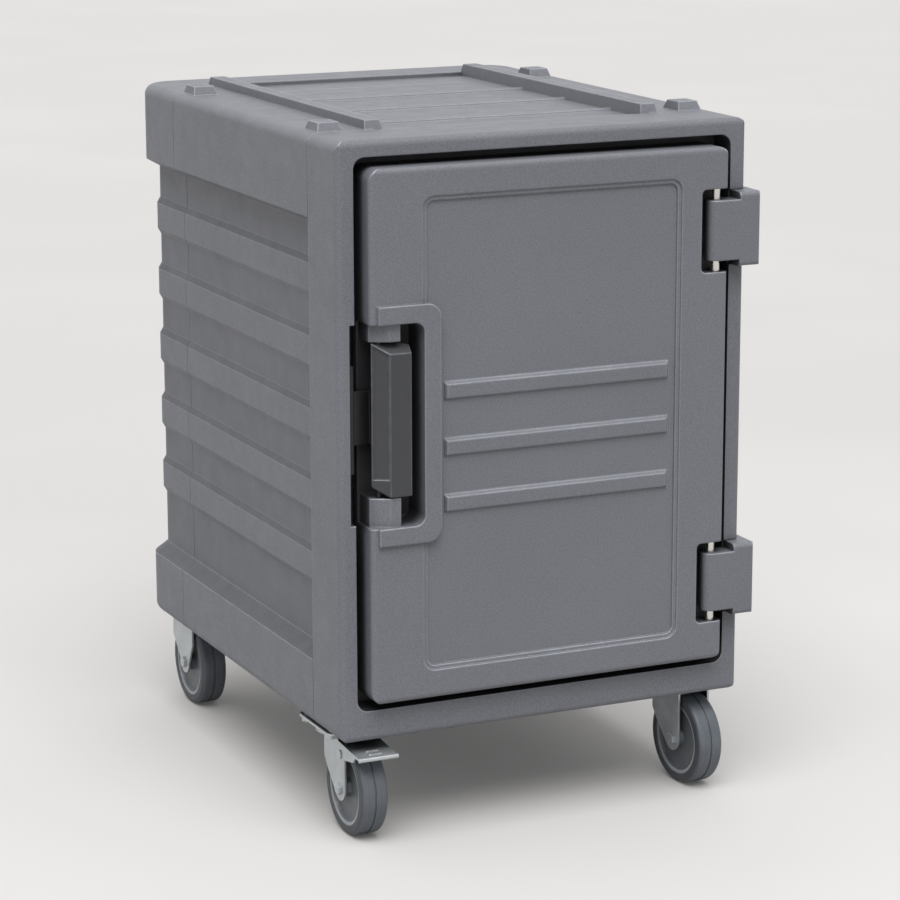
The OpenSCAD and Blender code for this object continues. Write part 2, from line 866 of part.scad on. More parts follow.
module insulation_foam() {
    inset = skin + foam_gap;
    drop = inner_top + foam_gap;
    front = seat_back + foam_gap;
    ring = ring_t + foam_gap;
    color([0.86, 0.80, 0.60]) place() difference() {
        union() {
            straight_body(frame_depth + foam_gap, seam_rear, inset, drop);
            rear_body(seam_rear, inset, drop);
            translate([0, 0, body_bottom + cabinet_h / 2]) {
                along_y(front, frame_depth + 1) {
                    round_rect(cabinet_w - 2 * ring, cabinet_h - 2 * ring, body_edge_r);
                }
            }
        }
        liner_outside(foam_gap);
        bolt_pads(foam_gap);
    }
}

// solid outline of the door
module door_slab() {
    translate([0, 0, opening_z]) soft_block(door_w, door_h, door_front, door_back, door_r, door_edge_r);
}

// space inside the door shell
module door_cavity(inset, y0, y1) {
    w = door_w - 2 * (door_skin + inset);
    h = door_h - 2 * (door_skin + inset);
    translate([0, 0, opening_z]) along_y(y0, y1) round_rect(w, h, door_r - door_skin);
}

module panel_cut() {
    translate([panel_shift, 0, opening_z]) {
        along_y(door_front - 1, door_front + panel_step) round_rect(panel_w, panel_h, panel_r);
        along_y(door_front - 1, door_front + panel_depth) {
            round_rect(panel_w - 2 * panel_edge, panel_h - 2 * panel_edge, panel_r - panel_edge);
        }
    }
}

module panel_bars() {
    depth = panel_depth + 1;
    for (i = [-1 : 1]) {
        translate([panel_shift + 6, door_front + depth, opening_z - bar_drop + i * bar_pitch]) {
            intersection() {
                along_x(-bar_l / 2, bar_l / 2) polygon([
                    [0, -bar_h / 2],
                    [-depth, bar_slope - bar_h / 2],
                    [-depth, bar_h / 2 - bar_slope],
                    [0, bar_h / 2]
                ]);
                translate([0, 0, -bar_h]) linear_extrude(2 * bar_h) polygon([
                    [-bar_l / 2, 0],
                    [bar_slope - bar_l / 2, -depth],
                    [bar_l / 2 - bar_slope, -depth],
                    [bar_l / 2, 0]
                ]);
            }
        }
    }
}

// outline of the handle surround, open to the left edge of the door
module surround_outline() {
    w = surround_reach - surround_start;
    translate([door_left + surround_start, -surround_h / 2]) square([w - surround_r, surround_h]);
    translate([door_left + surround_start, surround_r - surround_h / 2]) square([w, surround_h - 2 * surround_r]);
    for (s = [-1, 1]) {
        translate([door_left + surround_reach - surround_r, s * (surround_h / 2 - surround_r)]) circle(surround_r);
    }
}

module recess_outline() {
    r = surround_r - 5;
    reach = surround_reach - surround_w;
    translate([door_left - 1, -recess_h / 2]) square([reach + 1 - r, recess_h]);
    translate([door_left - 1, r - recess_h / 2]) square([reach + 1, recess_h - 2 * r]);
    for (s = [-1, 1]) {
        translate([door_left + reach - r, s * (recess_h / 2 - r)]) circle(r);
    }
}

// solid moulding round the finger recess, grown by extra
module latch_housing(extra) {
    h = recess_h + 2 * (door_skin + extra);
    w = surround_reach - surround_w + door_skin + extra;
    translate([door_left + door_skin / 2, door_front + door_skin / 2, surround_z - h / 2]) {
        cube([w - door_skin / 2, block_back + extra - door_front - door_skin / 2, h]);
    }
}

// solid moulding round a hinge notch, grown by extra
module hinge_housing(z, extra) {
    h = notch_h + 2 * (hinge_pin_seat + 5 + extra);
    y = axis_y + barrel_r + notch_gap + door_skin + extra;
    translate([axis_x - notch_w - door_skin - extra, door_front + door_skin / 2, body_bottom + z - h / 2]) {
        cube([notch_w + door_skin + extra + hinge_x - door_skin / 2, y - door_front - door_skin / 2, h]);
    }
}

module hinge_notch(z) {
    w = notch_w + hinge_x + notch_r + 1;
    translate([axis_x - notch_w + w / 2, 0, body_bottom + z]) {
        along_y(door_front - 1, axis_y + barrel_r + notch_gap) round_rect(w, notch_h, notch_r);
    }
    translate([axis_x, axis_y, body_bottom + z - notch_h / 2 - hinge_pin_seat]) {
        cylinder(d = hinge_pin_d, h = notch_h + 2 * hinge_pin_seat);
    }
}

// a lug that holds the latch pin, shaped like the handle's flank
module latch_lug(z0, z1) {
    front = latch_lug_set - grip_front;
    back = finger_back + 1 - pin_y;
    translate([pin_x, pin_y, z0]) linear_extrude(z1 - z0) polygon([
        [-latch_lug_back, 0],
        [grip_start, front],
        [latch_lug_w, front],
        [latch_lug_w, back],
        [-latch_lug_back, back]
    ]);
}

module latch_lugs() {
    latch_lug(handle_z + lug_z, surround_z + recess_h / 2 + 1);
    latch_lug(surround_z - recess_h / 2 - 1, handle_z - lug_z);
}

module door_shell() {
    color([0.46, 0.47, 0.48]) place() difference() {
        union() {
            difference() {
                union() {
                    difference() {
                        door_slab();
                        door_cavity(0, door_front + door_skin, door_back + 1);
                        panel_cut();
                    }
                    panel_bars();
                    translate([0, 0, surround_z]) {
                        along_y(door_front - surround_rise_out, door_front + door_skin) surround_outline();
                    }
                    latch_housing(0);
                    hinge_housing(hinge_upper, 0);
                    hinge_housing(hinge_lower, 0);
                }
                translate([0, 0, surround_z]) {
                    along_y(door_front - surround_rise_out - 1, finger_back) recess_outline();
                }
            }
            latch_lugs();
        }
        hinge_notch(hinge_upper);
        hinge_notch(hinge_lower);
        translate([pin_x, pin_y, handle_z - lug_z - latch_pin_seat]) {
            cylinder(d = latch_pin_d, h = 2 * (lug_z + latch_pin_seat));
        }
    }
}

module door_pan() {
    color([0.58, 0.59, 0.60]) place() difference() {
        union() {
            door_cavity(door_fit, pan_front, door_back);
            translate([0, 0, opening_z]) along_y(pan_front, door_back + plug_depth) {
                round_rect(plug_w, plug_h, liner_r);
            }
        }
        translate([0, 0, opening_z]) {
            along_y(pan_front - 1, door_back + plug_depth - pan_t) {
                round_rect(plug_w - 2 * pan_t, plug_h - 2 * pan_t, liner_r - pan_t);
            }
        }
    }
}

module door_foam() {
    color([0.88, 0.82, 0.62]) place() difference() {
        union() {
            door_cavity(foam_gap, door_front + door_skin + foam_gap, pan_front - foam_gap);
            translate([0, 0, opening_z]) {
                along_y(pan_front - 1, door_back + plug_depth - pan_t - foam_gap) {
                    round_rect(plug_w - 2 * (pan_t + foam_gap), plug_h - 2 * (pan_t + foam_gap), liner_r - pan_t);
                }
            }
        }
        latch_housing(foam_gap);
        hinge_housing(hinge_upper, foam_gap);
        hinge_housing(hinge_lower, foam_gap);
    }
}

module door_gasket() {
    w = seat_inner_w + 2 * gasket_inset;
    h = seat_inner_h + 2 * gasket_inset;
    color([0.15, 0.15, 0.16]) place() translate([0, 0, opening_z]) difference() {
        along_y(door_back, seat_depth) round_rect(w + 2 * gasket_w, h + 2 * gasket_w, liner_r + gasket_w);
        along_y(door_back - 1, seat_depth + 1) round_rect(w, h, liner_r);
        along_y(seat_depth - gasket_t / 3, seat_depth + 1) difference() {
            round_rect(w + 1.4 * gasket_w, h + 1.4 * gasket_w, liner_r + gasket_w / 2);
            round_rect(w + 0.6 * gasket_w, h + 0.6 * gasket_w, liner_r);
        }
    }
}

// plan of the hinge's barrel and the arm behind its smooth front face
module hinge_arm_outline() {
    translate([axis_x, axis_y]) circle(barrel_r);
    translate([axis_x, block_front]) square([block_in + 1 - axis_x, arm_back - block_front]);
}

// plan of the hinge's side leg with its outer front corner rounded
module hinge_leg_outline() {
    length = block_l - block_front;
    translate([block_in, block_front]) square([block_w - block_r, length]);
    translate([block_in, block_front + block_r]) square([block_w, length - block_r]);
    translate([block_in + block_w - block_r, block_front + block_r]) circle(block_r);
}

// hinge block: barrel round the pin, arm through the frame's notch and side leg along the frame
module hinge_block(z) {
    place() translate([0, 0, body_bottom + z]) difference() {
        union() {
            translate([0, 0, -barrel_h / 2]) linear_extrude(barrel_h) hinge_arm_outline();
            intersection() {
                translate([0, 0, -block_h / 2]) linear_extrude(block_h) hinge_leg_outline();
                along_x(block_in, block_in + block_w) rotate(90) mirror([0, 1]) {
                    front_round(block_h, block_front, block_l, block_edge);
                }
            }
        }
        translate([axis_x, axis_y, -block_h]) cylinder(d = hinge_pin_d + 2 * pin_play, h = 2 * block_h);
        translate([0, 0, -body_bottom - z]) hinge_screw_holes(z);
    }
}

module hinge_block_upper() {
    color([0.55, 0.56, 0.57]) hinge_block(hinge_upper);
}

module hinge_block_lower() {
    color([0.55, 0.56, 0.57]) hinge_block(hinge_lower);
}

module hinge_screws() {
    color([0.75, 0.76, 0.78]) place() for (z = [hinge_upper, hinge_lower]) {
        hinge_screw_places(z) rotate([0, -90, 0]) {
            cylinder(d = hinge_screw_d, h = block_w + hinge_grip);
            translate([0, 0, -screw_head]) difference() {
                cylinder(r = hinge_screw_d, h = screw_head);
                translate([0, 0, -1]) cylinder(d = hinge_screw_d * 0.8, h = screw_head, $fn = 6);
            }
        }
    }
}

module hinge_pins() {
    h = notch_h + 2 * hinge_pin_seat - 1;
    color([0.80, 0.81, 0.82]) place() for (z = [hinge_upper, hinge_lower]) {
        translate([axis_x, axis_y, body_bottom + z - h / 2]) cylinder(d = hinge_pin_d, h = h);
    }
}

// plan of the handle's body about the latch pin: grip, flank and back
module handle_outline() {
    circle(boss_r);
    polygon([
        [-flank_x, -boss_r / 10],
        [grip_start, -grip_front],
        [grip_start + grip_w, -grip_front],
        [grip_start + grip_w, grip_t - grip_front],
        [boss_r, boss_r / 2],
        [0, boss_r]
    ]);
}

// side view of the handle: both ends step down from the back to the front face
module handle_side() {
    top = handle_h / 2;
    back = 2 * boss_r;
    polygon([
        [back, top],
        [0, top],
        [-grip_front, top - grip_drop],
        [-grip_front, -top],
        [0, grip_drop - top],
        [back, grip_drop - top]
    ]);
}

// slim hollow sunk into the slanted flank of the handle
module flank_cut() {
    run = grip_start + flank_x;
    rise = grip_front - boss_r / 10;
    length = sqrt(run * run + rise * rise);
    top = handle_h / 2 - flank_margin;
    foot = flank_foot - handle_h / 2;
    translate([-flank_x, -boss_r / 10, 0]) rotate([0, 0, atan2(-rise, run)]) {
        along_y(-flank_hollow, flank_hollow) polygon([
            [flank_margin, foot],
            [length - flank_margin, foot],
            [length - flank_margin, top - grip_drop],
            [flank_margin, top - flank_margin]
        ]);
    }
}

module latch_handle() {
    color([0.20, 0.21, 0.22]) place() translate([pin_x, pin_y, handle_z]) difference() {
        union() {
            intersection() {
                translate([0, 0, -handle_h / 2]) linear_extrude(handle_h) handle_outline();
                along_x(-flank_x, grip_start + grip_w) handle_side();
            }
            translate([0, 0, -tongue_h / 2]) linear_extrude(tongue_h) polygon([
                [-boss_r / 2, 0],
                [-boss_r / 2, tongue_y],
                [-tongue_x, tongue_y],
                [-tongue_x, tongue_y + tongue_t],
                [boss_r / 2, tongue_y + tongue_t],
                [boss_r / 2, 0]
            ]);
        }
        flank_cut();
        translate([0, 0, -handle_h]) cylinder(d = latch_pin_d + 2 * pin_play, h = 2 * handle_h);
    }
}

module latch_pin() {
    h = 2 * (lug_z + latch_pin_seat) - 1;
    color([0.80, 0.81, 0.82]) place() translate([pin_x, pin_y, handle_z - h / 2]) {
        cylinder(d = latch_pin_d, h = h);
    }
}

// places of the keeper screws, at the keeper's face
module keeper_screw_places() {
    for (s = [-1, 1]) {
        translate([
            keeper_t - opening_w / 2 - keeper_pocket,
            keeper_y + keeper_l / 2,
            handle_z + s * (keeper_h / 2 - 2 * keeper_screw_d)
        ]) children();
    }
}

module latch_keeper() {
    x0 = -opening_w / 2 - keeper_pocket;
    color([0.20, 0.21, 0.22]) place() difference() {
        translate([0, 0, handle_z - keeper_h / 2]) {
            translate([x0, keeper_y, 0]) cube([keeper_t, keeper_l, keeper_h]);
            translate([x0, keeper_y, 0]) cube([keeper_pocket - keeper_set, keeper_t, keeper_h]);
        }
        keeper_screw_places() rotate([0, -90, 0]) translate([0, 0, -1]) {
            cylinder(d = keeper_screw_d + 2 * pin_play, h = 8);
        }
    }
}

module keeper_screws() {
    head_h = keeper_screw_d * 0.4;
    color([0.75, 0.76, 0.78]) place() keeper_screw_places() rotate([0, -90, 0]) {
        cylinder(d = keeper_screw_d, h = 7);
        translate([0, 0, -head_h]) cylinder(r = keeper_screw_d, h = head_h);
    }
}

// puts a swivel castor's own frame under the front left or right corner
module swivel_place(s) {
    place() translate([s * castor_cx, castor_front, 0]) rotate([0, 0, s < 0 ? yaw_left : yaw_right]) children();
}

module rear_place(s) {
    place() translate([s * castor_rear_cx, rear_axle_y, 0]) children();
}

module plate_outline() {
    round_rect(plate_w, plate_l, plate_r);
}

module castor_plate(s) {
    color([0.74, 0.75, 0.77]) place() translate([s * castor_cx, castor_front, 0]) difference() {
        union() {
            translate([0, 0, plate_z]) linear_extrude(steel_t) plate_outline();
            translate([0, 0, plate_z - race_h]) cylinder(r = race_r, h = race_h + 1);
        }
        bolt_places() translate([0, 0, plate_z - 1]) cylinder(d = bolt_d + 2 * pin_play, h = steel_t + 2);
        translate([0, 0, plate_z - race_h - 1]) cylinder(d = king_d + 2 * pin_play, h = race_h + steel_t + 2);
    }
}

module castor_plate_front_left() {
    castor_plate(-1);
}

module castor_plate_front_right() {
    castor_plate(1);
}

module castor_bolts() {
    color([0.77, 0.78, 0.80]) place() castor_places() bolt_places() {
        translate([0, 0, plate_z - bolt_head_h]) cylinder(r = bolt_head_r, h = bolt_head_h, $fn = 6);
        translate([0, 0, plate_z - 1]) cylinder(d = bolt_d, h = steel_t + bolt_grip);
    }
}

// side view of a swivel fork's leg about the axle: round foot, shoulder behind and a front edge
module leg_outline(front_edge) {
    back = trail + leg_reach;
    knee_y = back - leg_slope_l;
    knee_z = leg_shoulder - leg_slope_h;
    lean = atan2(knee_z, knee_y) - acos(foot_r / norm([knee_y, knee_z]));
    circle(foot_r);
    polygon(concat(
        [[-foot_r, 0]],
        front_edge,
        [[back, crown_top - axle_z], [back, leg_shoulder], [knee_y, knee_z]],
        [[foot_r * cos(lean), foot_r * sin(lean)]]
    ));
}

// side view of a fixed castor's leg about the axle
module rigid_leg_outline() {
    top = castor_h - steel_t / 2 - axle_z;
    circle(foot_r);
    polygon([
        [-foot_r, 0],
        [-rigid_front, leg_shoulder],
        [-rigid_front, top],
        [rigid_rear, top],
        [rigid_rear, leg_shoulder],
        [foot_r, 0]
    ]);
}

// a pair of legs drawn about the axle
module leg_pair(y_axle) {
    for (x = [-leg_out, leg_in]) {
        translate([0, y_axle, axle_z]) along_x(x, x + steel_t) children();
    }
}

module axle_hole(y_axle) {
    translate([-leg_out - 1, y_axle, axle_z]) rotate([0, 90, 0]) cylinder(d = axle_d, h = 2 * leg_out + 2);
}

// pressed fork of a swivel castor about its swivel axis, wheel set to the front
module swivel_fork(top_front, front_edge) {
    difference() {
        union() {
            translate([0, 0, crown_bottom]) cylinder(r = crown_r, h = steel_t);
            leg_pair(-trail) leg_outline(front_edge);
            translate([-leg_out, top_front - trail, crown_bottom]) {
                cube([2 * leg_out, trail + leg_reach - top_front, steel_t]);
            }
        }
        axle_hole(-trail);
        translate([0, 0, crown_bottom - 1]) cylinder(d = king_d, h = steel_t + 2);
    }
}

module pedal_pin_hole() {
    translate([-leg_out - 1, -pedal_pin_y, pedal_z]) rotate([0, 90, 0]) {
        cylinder(d = pedal_pin_d, h = 2 * leg_out + 2);
    }
}

// fork with its legs cut down in front for the pedal
module fork_front_left() {
    pin_up = pedal_z - axle_z;
    color([0.74, 0.75, 0.77]) swivel_place(-1) difference() {
        swivel_fork(brake_front, [
            [-foot_r, pin_up + pedal_pin_d],
            [0, pin_up + pedal_pin_d * 1.6],
            [brake_front, crown_top - axle_z]
        ]);
        pedal_pin_hole();
    }
}

module fork_front_right() {
    color([0.74, 0.75, 0.77]) swivel_place(1) swivel_fork(plain_front, [[plain_front, crown_top - axle_z]]);
}

// king pin riveted in the fork's crown, turning in the race
module king_pin() {
    translate([0, 0, crown_bottom - king_head_h]) cylinder(d = king_d + 2 * king_head, h = king_head_h);
    translate([0, 0, crown_bottom - 1]) cylinder(d = king_d, h = castor_h - crown_bottom);
}

module king_pin_front_left() {
    color([0.70, 0.71, 0.73]) swivel_place(-1) king_pin();
}

module king_pin_front_right() {
    color([0.70, 0.71, 0.73]) swivel_place(1) king_pin();
}

// fixed castor: plate and fork pressed in one
module rigid_fork() {
    difference() {
        union() {
            translate([0, 0, plate_z]) linear_extrude(steel_t) plate_outline();
            leg_pair(0) rigid_leg_outline();
        }
        axle_hole(0);
        bolt_places() translate([0, 0, plate_z - 1]) cylinder(d = bolt_d + 2 * pin_play, h = steel_t + 2);
    }
}

module fork_rear_left() {
    color([0.74, 0.75, 0.77]) rear_place(-1) rigid_fork();
}

module fork_rear_right() {
    color([0.74, 0.75, 0.77]) rear_place(1) rigid_fork();
}

// axle bolt with its head and nut outside the fork
module axle_bolt(y_axle) {
    translate([0, y_axle, axle_z]) rotate([0, 90, 0]) {
        translate([0, 0, -leg_out - axle_head_h]) cylinder(r = axle_head_r, h = axle_head_h, $fn = 6);
        translate([0, 0, -leg_out - 1]) cylinder(d = axle_d, h = 2 * leg_out + 1 + axle_head_h + axle_end);
        translate([0, 0, leg_out]) cylinder(r = axle_head_r, h = axle_head_h, $fn = 6);
    }
}

module axle_front_left() {
    color([0.77, 0.78, 0.80]) swivel_place(-1) axle_bolt(-trail);
}

module axle_front_right() {
    color([0.77, 0.78, 0.80]) swivel_place(1) axle_bolt(-trail);
}

module axles_rear() {
    color([0.77, 0.78, 0.80]) for (s = [-1, 1]) {
        rear_place(s) axle_bolt(0);
    }
}

// cheek of the pedal about its pin
module cheek_outline() {
    top = pedal_rise - pedal_t / 2;
    circle(cheek_r);
    polygon([
        [pedal_back, top],
        [-cheek_l, top],
        [cheek_slope - cheek_l, pedal_rise - cheek_h],
        [0, -cheek_r],
        [cheek_r, 0]
    ]);
}

// pedal about its pin: sheet with a rolled lip, raised bars, two cheeks and the brake shoe
module brake_pedal() {
    front = pedal_back - pedal_l;
    under = pedal_rise - pedal_t;
    shoe_w = wheel_w * 2 / 3;
    color([0.72, 0.73, 0.75]) swivel_place(-1) translate([0, -pedal_pin_y, pedal_z]) difference() {
        rotate([pedal_slope, 0, 0]) {
            translate([-cheek_out, front, under]) cube([2 * cheek_out, pedal_l, pedal_t]);
            along_x(-cheek_out, cheek_out) translate([front, pedal_rise - pedal_t / 2]) circle(lip_r);
            for (i = [1 : tread_bars]) {
                translate([tread_inset - cheek_out, front + i * tread_pitch, under]) {
                    cube([2 * (cheek_out - tread_inset), tread_w, pedal_t + tread_h]);
                }
            }
            for (x = [-cheek_out, cheek_in]) {
                along_x(x, x + cheek_t) cheek_outline();
            }
            translate([-shoe_w / 2, -shoe_y - shoe_l / 2, under - shoe_h]) {
                cube([shoe_w, shoe_l, shoe_h + pedal_t / 2]);
            }
        }
        along_x(-cheek_out - 1, cheek_out + 1) circle(pedal_pin_d / 2 + pin_play);
    }
}

// two rivets that carry the pedal on the fork's legs
module brake_pedal_pin() {
    head_x = cheek_out + cheek_gap;
    color([0.77, 0.78, 0.80]) swivel_place(-1) translate([0, -pedal_pin_y, pedal_z]) for (s = [0, 1]) {
        mirror([s, 0, 0]) rotate([0, 90, 0]) {
            translate([0, 0, leg_in]) cylinder(d = pedal_pin_d, h = head_x + rivet_h - leg_in);
            translate([0, 0, head_x]) cylinder(d = 2 * pedal_pin_d, h = rivet_h);
        }
    }
}

// section of the tyre with round shoulders and a groove
module tyre_section() {
    r = wheel_d / 2;
    difference() {
        union() {
            translate([hub_r, -wheel_w / 2]) square([tyre_t - tyre_r, wheel_w]);
            translate([hub_r, tyre_r - wheel_w / 2]) square([tyre_t, wheel_w - 2 * tyre_r]);
            for (s = [-1, 1]) {
                translate([r - tyre_r, s * (wheel_w / 2 - tyre_r)]) circle(tyre_r);
            }
        }
        translate([r - groove_t, -groove_w / 2]) square([groove_t + 1, groove_w]);
    }
}

// wheel about its own axle, along X
module tyre() {
    rotate([0, 90, 0]) rotate_extrude() tyre_section();
}

// hub with a dished web between its boss and its rim
module hub() {
    side = wheel_w / 2;
    boss_r = sleeve_r + hub_boss;
    rim_r = hub_r - hub_rim;
    rotate([0, 90, 0]) rotate_extrude() {
        polygon([
            [sleeve_r, -side],
            [boss_r, -side],
            [boss_r + hub_draft / 2, hub_dish - side],
            [rim_r - hub_draft, hub_dish - side],
            [rim_r, hub_set - side],
            [hub_r, hub_set - side],
            [hub_r, side - hub_set],
            [rim_r, side - hub_set],
            [rim_r - hub_draft, side - hub_dish],
            [boss_r + hub_draft / 2, side - hub_dish],
            [boss_r, side],
            [sleeve_r, side]
        ]);
    }
}

module sleeve() {
    l = 2 * leg_in - 1;
    translate([-l / 2, 0, 0]) rotate([0, 90, 0]) difference() {
        cylinder(r = sleeve_r, h = l);
        translate([0, 0, -1]) cylinder(d = axle_d + 2 * pin_play, h = l + 2);
    }
}

module front_wheel(s) {
    swivel_place(s) translate([0, -trail, axle_z]) children();
}

module rear_wheel(s) {
    rear_place(s) translate([0, 0, axle_z]) children();
}

module tyre_front_left() {
    color([0.40, 0.40, 0.41]) front_wheel(-1) tyre();
}

module tyre_front_right() {
    color([0.40, 0.40, 0.41]) front_wheel(1) tyre();
}

module tyre_rear_left() {
    color([0.40, 0.40, 0.41]) rear_wheel(-1) tyre();
}

module tyre_rear_right() {
    color([0.40, 0.40, 0.41]) rear_wheel(1) tyre();
}

module hub_front_left() {
    color([0.60, 0.61, 0.62]) front_wheel(-1) hub();
}

module hub_front_right() {
    color([0.60, 0.61, 0.62]) front_wheel(1) hub();
}

module hub_rear_left() {
    color([0.60, 0.61, 0.62]) rear_wheel(-1) hub();
}

module hub_rear_right() {
    color([0.60, 0.61, 0.62]) rear_wheel(1) hub();
}

module sleeve_front_left() {
    color([0.77, 0.78, 0.80]) front_wheel(-1) sleeve();
}

module sleeve_front_right() {
    color([0.77, 0.78, 0.80]) front_wheel(1) sleeve();
}

module sleeve_rear_left() {
    color([0.77, 0.78, 0.80]) rear_wheel(-1) sleeve();
}

module sleeve_rear_right() {
    color([0.77, 0.78, 0.80]) rear_wheel(1) sleeve();
}

front_frame();
body_jacket();
rear_cap();
inner_liner();
tray_runners();
insulation_foam();
door_shell();
door_pan();
door_foam();
door_gasket();
hinge_block_upper();
hinge_block_lower();
hinge_screws();
hinge_pins();
latch_handle();
latch_pin();
latch_keeper();
keeper_screws();
castor_plate_front_left();
castor_plate_front_right();
castor_bolts();
fork_front_left();
fork_front_right();
king_pin_front_left();
king_pin_front_right();
fork_rear_left();
fork_rear_right();
axle_front_left();
axle_front_right();
axles_rear();
brake_pedal();
brake_pedal_pin();
tyre_front_left();
tyre_front_right();
tyre_rear_left();
tyre_rear_right();
hub_front_left();
hub_front_right();
hub_rear_left();
hub_rear_right();
sleeve_front_left();
sleeve_front_right();
sleeve_rear_left();
sleeve_rear_right();
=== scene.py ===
"""Looks of the insulated food cupboard: finish of every piece, floor, light and camera. Metres, Z up."""
import json
import math

import bpy
from mathutils import Matrix, Vector

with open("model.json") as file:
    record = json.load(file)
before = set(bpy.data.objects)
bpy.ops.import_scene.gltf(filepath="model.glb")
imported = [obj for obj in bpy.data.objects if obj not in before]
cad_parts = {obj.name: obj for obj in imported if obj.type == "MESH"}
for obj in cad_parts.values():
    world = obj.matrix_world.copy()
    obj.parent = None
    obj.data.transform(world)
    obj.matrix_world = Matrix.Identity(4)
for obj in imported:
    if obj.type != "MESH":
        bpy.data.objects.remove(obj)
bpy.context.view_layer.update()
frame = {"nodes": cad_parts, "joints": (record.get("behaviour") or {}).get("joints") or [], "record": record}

NODES = frame["nodes"]
JOINTS = {joint["name"]: joint for joint in frame["joints"]}


# Camera: a long lens, from the front left and a little above

CAMERA_TARGET = Vector((-0.12274, -0.308, 0.44317))
CAMERA_DISTANCE = 3.45936
CAMERA_AZIMUTH = math.radians(24.86)
CAMERA_ELEVATION = math.radians(13.04)
CAMERA_ROLL = math.radians(-0.11)
CAMERA_LENS_MM = 126.14
SENSOR_MM = 36.0


def make_camera():
    """Adds the camera that was fitted to the photograph's straight edges."""
    ahead = Vector((
        math.sin(CAMERA_AZIMUTH) * math.cos(CAMERA_ELEVATION),
        math.cos(CAMERA_AZIMUTH) * math.cos(CAMERA_ELEVATION),
        -math.sin(CAMERA_ELEVATION),
    ))
    level = Vector((math.cos(CAMERA_AZIMUTH), -math.sin(CAMERA_AZIMUTH), 0.0))
    upright = level.cross(ahead)
    right = level * math.cos(CAMERA_ROLL) + upright * math.sin(CAMERA_ROLL)
    up = upright * math.cos(CAMERA_ROLL) - level * math.sin(CAMERA_ROLL)
    data = bpy.data.cameras.new("photo_camera")
    data.lens = CAMERA_LENS_MM
    data.sensor_width = SENSOR_MM
    data.dof.use_dof = False
    camera = bpy.data.objects.new("photo_camera", data)
    turn = Matrix((right, up, -ahead)).transposed()
    camera.matrix_world = Matrix.Translation(CAMERA_TARGET - ahead * CAMERA_DISTANCE) @ turn.to_4x4()
    bpy.context.scene.collection.objects.link(camera)
    bpy.context.scene.camera = camera


# Builder for materials: nodes in object coordinates, which ride with each piece

# sockets of the Mix node when it mixes colours
MIX_FACTOR, MIX_A, MIX_B, MIX_RESULT = 0, 6, 7, 2
BEVEL_SAMPLES = 6
SHELTER_SAMPLES = 6
# how far the test for gaps and corners reaches
SHELTER_REACH = 0.06
# where most values of a noise lie
NOISE_SPAN = (0.3, 0.7)
NONE_TO_FULL = (0.0, 1.0)
FULL_TO_NONE = (1.0, 0.0)
# cosine between the true and the softened normal, from a flat face to an edge
EDGE_TURN = (0.998, 0.94)
# upward part of an edge's normal, and how strong the painted edge highlight is there
EDGE_UPWARD = (-0.3, 0.55)
EDGE_HIGHLIGHT_RANGE = (0.08, 1.0)
# openness of an edge, from one in a corner to one in plain view; the painted edge highlight fades into
# corners
EDGE_OPEN = (0.6, 0.85)


